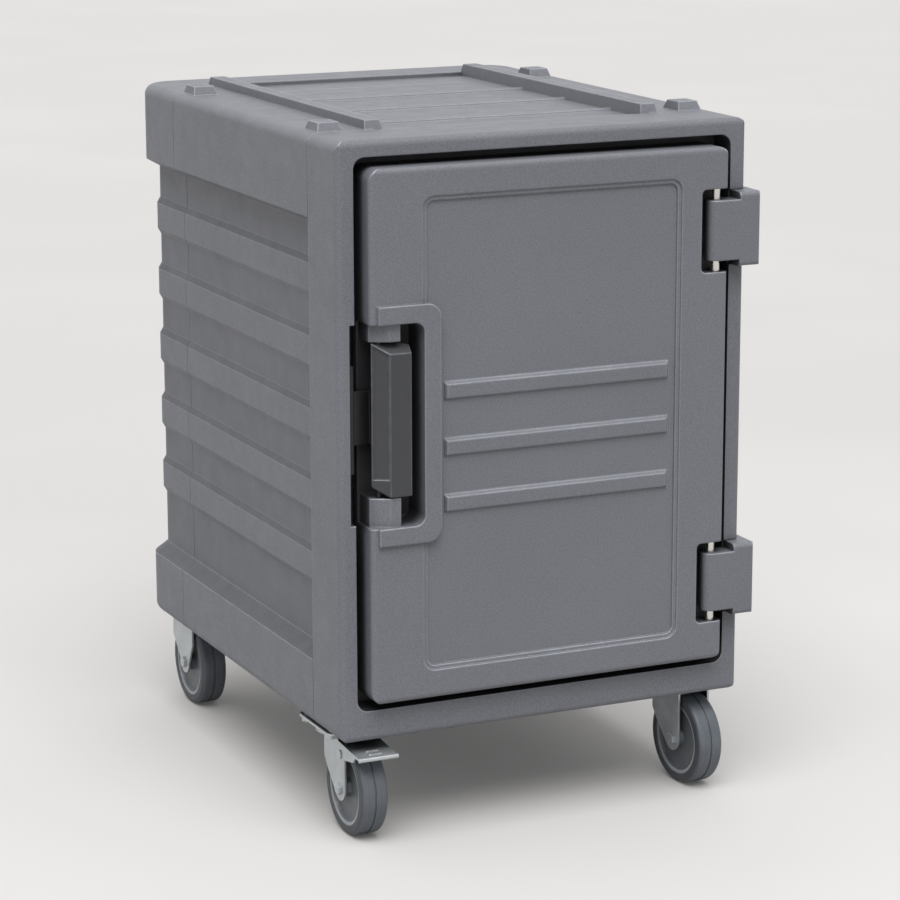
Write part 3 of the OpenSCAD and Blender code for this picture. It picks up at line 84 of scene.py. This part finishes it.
class Finish:
    """A material with a Principled shader, and helpers that add nodes to it."""

    def __init__(self, name):
        self.material = bpy.data.materials.new(name)
        self.material.use_nodes = True
        self.tree = self.material.node_tree
        self.shader = self.tree.nodes["Principled BSDF"]
        self.place = self.add("ShaderNodeTexCoord").outputs["Object"]

    def add(self, kind, **settings):
        node = self.tree.nodes.new(kind)
        for key, value in settings.items():
            setattr(node, key, value)
        return node

    def feed(self, value, socket):
        """Sets a socket to a number or colour, or links it to another socket."""
        if isinstance(value, (int, float, tuple)):
            socket.default_value = value
        else:
            self.tree.links.new(value, socket)

    def shade(self, **values):
        """Feeds the shader's sockets, named with underscores for spaces."""
        for key, value in values.items():
            self.feed(value, self.shader.inputs[key.replace("_", " ")])

    def noise(self, scale, detail=2.0, roughness=0.5, vector=None):
        node = self.add("ShaderNodeTexNoise")
        self.feed(vector or self.place, node.inputs["Vector"])
        for key, value in (("Scale", scale), ("Detail", detail), ("Roughness", roughness)):
            node.inputs[key].default_value = value
        return node.outputs["Fac"]

    def stretch(self, x, y, z):
        """The place on the piece, scaled along each axis."""
        node = self.add("ShaderNodeMapping")
        node.inputs["Scale"].default_value = (x, y, z)
        self.feed(self.place, node.inputs["Vector"])
        return node.outputs["Vector"]

    def spread(self, source, span, result=NONE_TO_FULL):
        """Maps source from one pair of values to another, held at both ends."""
        node = self.add("ShaderNodeMapRange")
        self.feed(source, node.inputs["Value"])
        for key, value in zip(("From Min", "From Max", "To Min", "To Max"), span + result):
            node.inputs[key].default_value = value
        return node.outputs["Result"]

    def vary(self, noise, lowest, highest):
        """Maps a noise from its usual span to lowest..highest."""
        return self.spread(noise, NOISE_SPAN, (lowest, highest))

    def math(self, operation, a, b):
        node = self.add("ShaderNodeMath", operation=operation)
        self.feed(a, node.inputs[0])
        self.feed(b, node.inputs[1])
        return node.outputs["Value"]

    def times(self, a, b):
        return self.math("MULTIPLY", a, b)

    def plus(self, a, b):
        return self.math("ADD", a, b)

    def larger(self, a, b):
        return self.math("MAXIMUM", a, b)

    def absolute(self, value):
        return self.math("ABSOLUTE", value, 0.0)

    def vector(self, operation, a, b):
        node = self.add("ShaderNodeVectorMath", operation=operation)
        self.feed(a, node.inputs[0])
        self.feed(b, node.inputs[1])
        return node

    def mix(self, factor, a, b):
        node = self.add("ShaderNodeMix", data_type="RGBA")
        self.feed(factor, node.inputs[MIX_FACTOR])
        self.feed(a, node.inputs[MIX_A])
        self.feed(b, node.inputs[MIX_B])
        return node.outputs[MIX_RESULT]

    def bump(self, height, strength, distance, normal=None):
        node = self.add("ShaderNodeBump")
        self.feed(height, node.inputs["Height"])
        node.inputs["Strength"].default_value = strength
        node.inputs["Distance"].default_value = distance
        if normal is not None:
            self.feed(normal, node.inputs["Normal"])
        return node.outputs["Normal"]

    def soft_edges(self, radius):
        """A normal that turns smoothly round edges, as if they had this radius."""
        node = self.add("ShaderNodeBevel", samples=BEVEL_SAMPLES)
        node.inputs["Radius"].default_value = radius
        return node.outputs["Normal"]

    def shelter(self):
        """One on open faces, falling towards zero in gaps and corners."""
        node = self.add("ShaderNodeAmbientOcclusion", samples=SHELTER_SAMPLES)
        node.inputs["Distance"].default_value = SHELTER_REACH
        return node.outputs["AO"]

    def piece_normal(self):
        """The normal along the piece's own axes."""
        return self.add("ShaderNodeTexCoord").outputs["Normal"]

    def along(self, axis, vector=None):
        """One coordinate of a vector, by default of the place on the piece."""
        node = self.add("ShaderNodeSeparateXYZ")
        self.feed(vector or self.place, node.inputs["Vector"])
        return node.outputs[axis]

    def away(self, axis, centre):
        """Distance from a plane square to an axis."""
        return self.absolute(self.math("SUBTRACT", self.along(axis), centre))

    def facing(self, joint):
        """One on faces square to a joint's axis, zero on faces along it."""
        turn = self.vector("DOT_PRODUCT", self.piece_normal(), tuple(joint["axis"])).outputs["Value"]
        return self.absolute(turn)

    def edge_mask(self, soft):
        """One on edges and zero on flat faces, from the normal's turn near an edge."""
        true_normal = self.add("ShaderNodeNewGeometry").outputs["Normal"]
        turn = self.vector("DOT_PRODUCT", soft, true_normal).outputs["Value"]
        return self.spread(turn, EDGE_TURN)

    def edge_highlight(self, soft, sheltered):
        """Painted highlight on open edges: full where the edge faces up, faint where it faces down."""
        lit = self.spread(self.along("Z", soft), EDGE_UPWARD, EDGE_HIGHLIGHT_RANGE)
        opened = self.spread(sheltered, EDGE_OPEN)
        return self.times(self.edge_mask(soft), self.times(lit, opened))


# Colours

GREY_RED = 0.966
GREY_BLUE = 1.125


def grey(level):
    """A near-neutral colour: level in the green, a little less red and more blue."""
    return (level * GREY_RED, level, level * GREY_BLUE, 1.0)


def scaled(colour, factor):
    return tuple(c * factor for c in colour[:3]) + (1.0,)


# Painted shade on the moulded plastic

BODY_CENTRE_X = -0.0055
# distance of the side walls and of the ribs' faces from the body's middle
SIDE_WALL_X = 0.2342
SIDE_RIB_X = 0.2378
# painted shade on the walls between the ribs
SIDE_WALL_SHADE = 0.20
# sideways part of the normal, from a slope to a wall
SIDEWAYS = (0.85, 0.98)
# ledges lie below the top band
LEDGE_TOP_Z = 0.700
LEDGE_FADE = 0.005
# painted shade on the ledges' upward slopes
LEDGE_SHADE = 0.56
# upward part of the normal, from a wall to a ledge
LEDGE_SLOPE = (0.15, 0.4)
# finger recess in the door, from its lip to its floor
RECESS_DEPTH_Y = (-0.318, -0.302)
RECESS_CENTRE_Z = 0.480
RECESS_HALF = 0.112
RECESS_RIGHT_X = -0.140
RECESS_FADE = 0.01


def side_shade(f):
    """Painted shade on the sides: a little on the walls between the ribs, more on the ledges."""
    normal = f.piece_normal()
    sideways = f.absolute(f.along("X", normal))
    inside = f.spread(f.away("X", BODY_CENTRE_X), (SIDE_WALL_X, SIDE_RIB_X), FULL_TO_NONE)
    wall = f.times(inside, f.spread(sideways, SIDEWAYS, (0.0, SIDE_WALL_SHADE)))
    below = f.spread(f.along("Z"), (LEDGE_TOP_Z, LEDGE_TOP_Z + LEDGE_FADE), (LEDGE_SHADE, 0.0))
    sloping = f.spread(f.along("Z", normal), LEDGE_SLOPE)
    return f.larger(wall, f.times(below, sloping))


def recess_shade(f):
    """Painted shade: one on the floor of the door's finger recess, zero elsewhere."""
    low = f.spread(f.along("Y"), RECESS_DEPTH_Y)
    near = f.spread(f.away("Z", RECESS_CENTRE_Z), (RECESS_HALF, RECESS_HALF + RECESS_FADE), FULL_TO_NONE)
    left = f.spread(f.along("X"), (RECESS_RIGHT_X, RECESS_RIGHT_X + RECESS_FADE), FULL_TO_NONE)
    return f.times(low, f.times(near, left))


def no_shade(f):
    """No painted shade."""
    return 0.0


# Moulded plastic

GRAIN_SCALE = 660.0
GRAIN_DEPTH = 0.0005
PEEL_SCALE = 150.0
PEEL_STRENGTH = 0.12
PEEL_DEPTH = 0.0006
# how far clouds and speckle move the tone between its ends
CLOUD_SHARE = 0.12
SPECKLE_SHARE = 0.85
TONE_SPAN = (-1.0, 1.0)
DARK_TONE = 0.74
LIGHT_TONE = 1.26
# painted highlight on open edges that face up
EDGE_TONE = 2.9
# painted shade on the sides' walls and ledges and in the door's finger recess
PAINTED_SHADE_TONE = 0.12
# painted shade in gaps and corners
SHELTER_TONE = 0.15
# openness of a face, from a dark gap to plain view
SHELTER_SPAN = (0.18, 0.58)
# the painted edge highlight comes and goes along an edge
HIGHLIGHT_PLAY_SPAN = (0.35, 0.65)
HIGHLIGHT_PLAY_RANGE = (0.7, 1.0)
ROUGHNESS_PLAY = 0.06
PLASTIC_IOR = 1.51


def moulded_plastic(name, colour, grain, soft_radius, roughness, painted_shade=no_shade):
    """Rotationally moulded polyethylene: fine grain, faint clouding, painted highlights on upward edges, and
    painted shade on set-back places, in gaps and in corners.
    """
    f = Finish(name)
    soft = f.soft_edges(soft_radius)
    cloud = f.noise(scale=7.0, detail=4.0)
    speckle = f.noise(GRAIN_SCALE, detail=2.5, roughness=0.65)
    tone = f.plus(f.vary(cloud, -CLOUD_SHARE, CLOUD_SHARE), f.vary(speckle, -SPECKLE_SHARE, SPECKLE_SHARE))
    body = f.mix(f.spread(tone, TONE_SPAN), scaled(colour, DARK_TONE), scaled(colour, LIGHT_TONE))
    sheltered = f.shelter()
    highlight_play = f.spread(f.noise(scale=60.0, detail=3.0), HIGHLIGHT_PLAY_SPAN, HIGHLIGHT_PLAY_RANGE)
    # painted highlight on open edges that face up, stronger and weaker along the edge
    highlight_mask = f.times(f.edge_highlight(soft, sheltered), highlight_play)
    highlighted_body = f.mix(highlight_mask, body, scaled(colour, EDGE_TONE))
    # painted shade on the sides' walls and ledges and in the door's finger recess
    open_body = f.mix(painted_shade(f), highlighted_body, scaled(colour, PAINTED_SHADE_TONE))
    # painted shade in gaps and corners
    f.shade(Base_Color=f.mix(f.spread(sheltered, SHELTER_SPAN), scaled(colour, SHELTER_TONE), open_body))
    smears = f.noise(scale=38.0, detail=5.0)
    f.shade(Roughness=f.vary(smears, roughness - ROUGHNESS_PLAY, roughness + ROUGHNESS_PLAY))
    f.shade(IOR=PLASTIC_IOR)
    peel = f.bump(f.noise(PEEL_SCALE, detail=2.0), PEEL_STRENGTH, PEEL_DEPTH, soft)
    f.shade(Normal=f.bump(speckle, grain, GRAIN_DEPTH, peel))
    return f.material


def body_plastic():
    return moulded_plastic(
        "body_plastic", grey(0.178), grain=0.42, soft_radius=0.0022, roughness=0.52, painted_shade=side_shade
    )


def door_plastic():
    return moulded_plastic(
        "door_plastic", grey(0.179), grain=0.48, soft_radius=0.0030, roughness=0.46, painted_shade=recess_shade
    )


def hinge_plastic():
    return moulded_plastic("hinge_plastic", grey(0.172), grain=0.36, soft_radius=0.0030, roughness=0.44)


def liner_plastic():
    return moulded_plastic("liner_plastic", grey(0.30), grain=0.16, soft_radius=0.0016, roughness=0.44)


# Latch handle

LATCH_DARK = grey(0.044)
LATCH_LIGHT = grey(0.056)
# painted highlight on open edges that face up
LATCH_EDGE = grey(0.44)
# painted shade in gaps and deep in the recess
LATCH_SHADE = grey(0.006)
# the painted edge highlight comes and goes along an edge
LATCH_HIGHLIGHT_PLAY_SPAN = (0.4, 0.7)
LATCH_HIGHLIGHT_PLAY_RANGE = (0.6, 1.0)
# the handle is in shade from here back into the recess
LATCH_DEPTH_Y = (-0.316, -0.306)


def latch_plastic():
    """Dark injection-moulded nylon with a satin face, painted highlights on its upward edges and painted
    shade in gaps and deep in the recess.
    """
    f = Finish("latch_plastic")
    soft = f.soft_edges(0.0024)
    sheltered = f.shelter()
    highlight_play = f.spread(f.noise(scale=90.0, detail=3.0), LATCH_HIGHLIGHT_PLAY_SPAN, LATCH_HIGHLIGHT_PLAY_RANGE)
    body = f.mix(f.noise(scale=25.0, detail=4.0), LATCH_DARK, LATCH_LIGHT)
    # painted highlight on open edges that face up
    highlighted_body = f.mix(f.times(f.edge_highlight(soft, sheltered), highlight_play), body, LATCH_EDGE)
    # painted shade in gaps and deep in the recess
    near = f.spread(f.along("Y"), LATCH_DEPTH_Y, FULL_TO_NONE)
    unshaded = f.times(f.spread(sheltered, SHELTER_SPAN), near)
    f.shade(Base_Color=f.mix(unshaded, LATCH_SHADE, highlighted_body))
    f.shade(Roughness=f.vary(f.noise(scale=55.0, detail=4.0), 0.34, 0.46))
    f.shade(Normal=f.bump(f.noise(scale=1300.0, detail=2.0), strength=0.12, distance=0.0003, normal=soft))
    return f.material


# Metals

BLACK_DARK = grey(0.012)
BLACK_LIGHT = grey(0.026)
BLACK_EDGE = grey(0.09)
BLACK_METALLIC = 0.4
ZINC_DARK = (0.47, 0.50, 0.515, 1.0)
ZINC_LIGHT = (0.60, 0.63, 0.645, 1.0)
# painted highlight on open edges that face up
ZINC_EDGE = (0.92, 0.94, 0.95, 1.0)
# painted shade in gaps and corners
ZINC_SHADE = (0.035, 0.037, 0.040, 1.0)
ZINC_METALLIC = 0.7
ZINC_SHELTER_SPAN = (0.18, 0.36)
STAINLESS_DARK = (0.58, 0.56, 0.53, 1.0)
STAINLESS_LIGHT = (0.76, 0.74, 0.70, 1.0)


def black_steel():
    """Steel with a black oxide skin, rubbed a little at its edges."""
    f = Finish("black_steel")
    soft = f.soft_edges(0.0005)
    skin = f.mix(f.noise(scale=140.0, detail=4.0), BLACK_DARK, BLACK_LIGHT)
    f.shade(Base_Color=f.mix(f.edge_mask(soft), skin, BLACK_EDGE))
    f.shade(Metallic=BLACK_METALLIC)
    f.shade(Roughness=f.vary(f.noise(scale=260.0, detail=3.0), 0.40, 0.55))
    f.shade(Normal=soft)
    return f.material


def zinc_steel():
    """Pressed steel with bright zinc plating: soft blotches, fine drawing marks, painted highlights on
    upward edges and painted shade in gaps and corners.
    """
    f = Finish("zinc_steel")
    soft = f.soft_edges(0.0008)
    blotch = f.noise(scale=45.0, detail=5.0, roughness=0.6)
    marks = f.noise(scale=14.0, detail=3.0, vector=f.stretch(60.0, 60.0, 4.0))
    body = f.mix(f.vary(blotch, 0.0, 1.0), ZINC_DARK, ZINC_LIGHT)
    sheltered = f.shelter()
    # painted highlight on open edges that face up
    highlighted = f.mix(f.edge_highlight(soft, sheltered), body, ZINC_EDGE)
    # painted shade in gaps and corners
    f.shade(Base_Color=f.mix(f.spread(sheltered, ZINC_SHELTER_SPAN), ZINC_SHADE, highlighted))
    f.shade(Metallic=ZINC_METALLIC)
    f.shade(Roughness=f.plus(f.vary(blotch, 0.34, 0.46), f.vary(marks, -0.04, 0.04)))
    f.shade(Normal=f.bump(marks, strength=0.05, distance=0.0004, normal=soft))
    return f.material


def stainless_steel():
    """Turned stainless pin stock: a bright face with fine rings across the length."""
    f = Finish("stainless_steel")
    rings = f.noise(scale=30.0, detail=3.0, vector=f.stretch(1.0, 1.0, 60.0))
    f.shade(Base_Color=f.mix(f.vary(rings, 0.0, 1.0), STAINLESS_DARK, STAINLESS_LIGHT))
    f.shade(Metallic=1.0)
    f.shade(Roughness=f.vary(rings, 0.20, 0.34))
    f.shade(Normal=f.bump(rings, strength=0.08, distance=0.0003, normal=f.soft_edges(0.0005)))
    return f.material


# Wheels

TREAD_DARK = (0.090, 0.102, 0.119, 1.0)
TREAD_LIGHT = (0.140, 0.157, 0.178, 1.0)
TYRE_WALL_DARK = (0.044, 0.048, 0.056, 1.0)
TYRE_WALL_LIGHT = (0.072, 0.078, 0.088, 1.0)
# squareness to the axle, from the tread to the tyre's side wall
TYRE_WALL_TURN = (0.55, 0.95)
DUST_SPAN = (0.35, 0.7)
# how closely the worn rings follow each other along the radius and along the axle
RADIAL_RINGS = 6.0
TREAD_RINGS = 14.0
HUB_DARK = (0.110, 0.120, 0.134, 1.0)
HUB_LIGHT = (0.150, 0.162, 0.178, 1.0)
HUB_RIM_DARK = (0.33, 0.35, 0.365, 1.0)
HUB_RIM_LIGHT = (0.42, 0.44, 0.455, 1.0)
HUB_RING_START = 0.0388
HUB_RING_FADE = 0.0006


def axle_parts(f, joint):
    """Distance from a wheel's axle, and position along it, in a wheel's own coordinates."""
    axis = tuple(joint["axis"])
    arm = f.vector("SUBTRACT", f.place, tuple(joint["pos_m"])).outputs["Vector"]
    along = f.vector("DOT_PRODUCT", arm, axis).outputs["Value"]
    shadow = f.add("ShaderNodeVectorMath", operation="SCALE")
    shadow.inputs[0].default_value = axis
    f.feed(along, shadow.inputs["Scale"])
    across = f.vector("SUBTRACT", arm, shadow.outputs["Vector"]).outputs["Vector"]
    radius = f.vector("LENGTH", across, (0.0, 0.0, 0.0)).outputs["Value"]
    return radius, along


def tyre_rubber(joint):
    """Grey non-marking rubber: dusty shoulders and fine rings worn round the tread."""
    f = Finish("tyre_rubber_" + joint["child"])
    radius, along = axle_parts(f, joint)
    join = f.add("ShaderNodeCombineXYZ")
    f.feed(f.times(radius, RADIAL_RINGS), join.inputs["X"])
    f.feed(f.times(along, TREAD_RINGS), join.inputs["Y"])
    rings = f.noise(scale=60.0, detail=3.0, vector=join.outputs["Vector"])
    dust = f.noise(scale=70.0, detail=5.0, roughness=0.65)
    tone = f.plus(f.vary(rings, 0.0, 0.5), f.spread(dust, DUST_SPAN, (0.0, 0.5)))
    tread = f.mix(tone, TREAD_DARK, TREAD_LIGHT)
    wall = f.mix(tone, TYRE_WALL_DARK, TYRE_WALL_LIGHT)
    f.shade(Base_Color=f.mix(f.spread(f.facing(joint), TYRE_WALL_TURN), tread, wall))
    f.shade(Roughness=f.vary(dust, 0.40, 0.56))
    skin = f.noise(scale=900.0, detail=2.0)
    fine = f.bump(skin, strength=0.15, distance=0.0004, normal=f.soft_edges(0.001))
    f.shade(Normal=f.bump(rings, strength=0.10, distance=0.0006, normal=fine))
    return f.material


def hub_plastic(joint):
    """Grey hub moulding with a paler ring at its rim."""
    f = Finish("hub_plastic_" + joint["child"])
    radius, _ = axle_parts(f, joint)
    ring = f.spread(radius, (HUB_RING_START, HUB_RING_START + HUB_RING_FADE))
    cloud = f.noise(scale=55.0, detail=4.0)
    dish = f.mix(cloud, HUB_DARK, HUB_LIGHT)
    rim = f.mix(cloud, HUB_RIM_DARK, HUB_RIM_LIGHT)
    f.shade(Base_Color=f.mix(ring, dish, rim))
    f.shade(Roughness=f.vary(f.noise(scale=120.0, detail=4.0), 0.34, 0.48))
    skin = f.noise(scale=1000.0, detail=2.0)
    f.shade(Normal=f.bump(skin, strength=0.08, distance=0.0003, normal=f.soft_edges(0.0008)))
    return f.material


# Seal and filling

GASKET_DARK = grey(0.016)
GASKET_LIGHT = grey(0.038)
FOAM_DARK = (0.62, 0.52, 0.30, 1.0)
FOAM_LIGHT = (0.80, 0.72, 0.48, 1.0)


def gasket_rubber():
    """Black hollow door seal: matt, with a faint bloom."""
    f = Finish("gasket_rubber")
    bloom = f.noise(scale=80.0, detail=5.0)
    f.shade(Base_Color=f.mix(bloom, GASKET_DARK, GASKET_LIGHT))
    f.shade(Roughness=f.vary(bloom, 0.55, 0.72))
    skin = f.noise(scale=900.0, detail=2.0)
    f.shade(Normal=f.bump(skin, strength=0.15, distance=0.0004, normal=f.soft_edges(0.001)))
    return f.material


def rigid_foam():
    """Cream polyurethane foam with open cells; it shows only where a piece is taken off."""
    f = Finish("rigid_foam")
    cells = f.noise(scale=500.0, detail=3.0)
    f.shade(Base_Color=f.mix(cells, FOAM_DARK, FOAM_LIGHT))
    f.shade(Roughness=f.vary(cells, 0.80, 0.95))
    f.shade(Normal=f.bump(cells, strength=0.4, distance=0.001))
    return f.material


# Dressing: each CAD node gets the finish of its material slot

HIDDEN_STEEL = ("latch_pin", "keeper_screws")


def wheel_joint(node):
    """The spin joint of the wheel that a tyre or hub belongs to."""
    place = node.split("_", 1)[1]
    return JOINTS["wheel_" + place + "_spin"]


def dress(name, material):
    """Puts a finish on a CAD node, in place of what it came with."""
    node = NODES[name]
    node.data.materials.clear()
    node.data.materials.append(material)


def dress_all():
    slots = {part["node"]: part["material_slot"] for part in frame["record"]["subparts"]}
    shared = {
        "body_grey": body_plastic(),
        "door_grey": door_plastic(),
        "hinge_grey": hinge_plastic(),
        "liner_grey": liner_plastic(),
        "foam": rigid_foam(),
        "gasket": gasket_rubber(),
        "latch_dark": latch_plastic(),
        "stainless": stainless_steel(),
        "zinc": zinc_steel(),
    }
    hidden_steel = black_steel()
    for name, slot in slots.items():
        if name in HIDDEN_STEEL:
            dress(name, hidden_steel)
        elif slot == "tyre_grey":
            dress(name, tyre_rubber(wheel_joint(name)))
        elif slot == "hub_grey":
            dress(name, hub_plastic(wheel_joint(name)))
        else:
            dress(name, shared[slot])


# Stage: floor, sky and one broad lamp

FLOOR_HALF = 30.0
FLOOR_COLOUR = (0.525, 0.517, 0.507, 1.0)
# the floor's colour runs from light in front of the object to darker behind it, painted light that lifts the
# floor where the object keeps light off it
FLOOR_SPAN_Y = (-1.6, 1.4)
FLOOR_NEAR_TONE = 1.24
FLOOR_FAR_TONE = 0.97
FLOOR_MOTTLE = 0.1
# share of its colour with which the floor lights the object
FLOOR_BOUNCE = 0.62
# light added to what the camera sees of the floor
FLOOR_LIFT = 0.045
FLOOR_ROUGHNESS = 0.9
FLOOR_SPECULAR = 0.1
SKY_COLOUR = (1.0, 1.0, 1.0, 1.0)
# sky strength from the front of the object to the back
SKY_SPAN_Y = (-0.2, 0.8)
SKY_STRENGTH = (0.50, 0.90)
KEY_STRENGTH = 2.8
KEY_FROM = Vector((-0.17, -0.42, 0.891))
KEY_SPREAD = math.radians(50.0)


def floor_finish():
    """Pale studio floor, which keeps its shadow and lights the object less than it shows."""
    f = Finish("studio_floor")
    back = f.spread(f.along("Y"), FLOOR_SPAN_Y)
    mottle = f.vary(f.noise(scale=1.2, detail=3.0), -FLOOR_MOTTLE, FLOOR_MOTTLE)
    near_colour = scaled(FLOOR_COLOUR, FLOOR_NEAR_TONE)
    shown = f.mix(f.plus(back, mottle), near_colour, scaled(FLOOR_COLOUR, FLOOR_FAR_TONE))
    ray = f.add("ShaderNodeLightPath").outputs
    seen = f.larger(ray["Is Camera Ray"], f.larger(ray["Is Glossy Ray"], ray["Is Transmission Ray"]))
    f.shade(Base_Color=f.mix(seen, scaled(FLOOR_COLOUR, FLOOR_BOUNCE), shown))
    lift = f.times(ray["Is Camera Ray"], FLOOR_LIFT / FLOOR_COLOUR[0])
    f.shade(Emission_Color=FLOOR_COLOUR, Emission_Strength=lift)
    f.shade(Roughness=FLOOR_ROUGHNESS, Specular_IOR_Level=FLOOR_SPECULAR)
    return f.material


def make_floor():
    mesh = bpy.data.meshes.new("floor")
    s = FLOOR_HALF
    mesh.from_pydata([(-s, -s, 0), (s, -s, 0), (s, s, 0), (-s, s, 0)], [], [(0, 1, 2, 3)])
    floor = bpy.data.objects.new("floor", mesh)
    bpy.context.scene.collection.objects.link(floor)
    mesh.materials.append(floor_finish())


def make_sky():
    """A white surround, brighter behind the object than in front of it."""
    world = bpy.data.worlds.new("studio")
    world.use_nodes = True
    nodes, links = world.node_tree.nodes, world.node_tree.links
    sky = nodes["Background"]
    sky.inputs["Color"].default_value = SKY_COLOUR
    axes = nodes.new("ShaderNodeSeparateXYZ")
    links.new(nodes.new("ShaderNodeTexCoord").outputs["Generated"], axes.inputs["Vector"])
    backdrop = nodes.new("ShaderNodeMapRange")
    links.new(axes.outputs["Y"], backdrop.inputs["Value"])
    for key, value in zip(("From Min", "From Max", "To Min", "To Max"), SKY_SPAN_Y + SKY_STRENGTH):
        backdrop.inputs[key].default_value = value
    links.new(backdrop.outputs["Result"], sky.inputs["Strength"])
    bpy.context.scene.world = world


def make_key_light():
    """A broad, soft lamp from above, a little to the front and left."""
    data = bpy.data.lights.new("key", "SUN")
    data.energy = KEY_STRENGTH
    data.angle = KEY_SPREAD
    key = bpy.data.objects.new("key", data)
    key.rotation_mode = "QUATERNION"
    key.rotation_quaternion = KEY_FROM.to_track_quat("Z", "Y")
    bpy.context.scene.collection.objects.link(key)


bpy.context.scene.view_settings.view_transform = "Standard"
make_camera()
dress_all()
make_floor()
make_sky()
make_key_light()
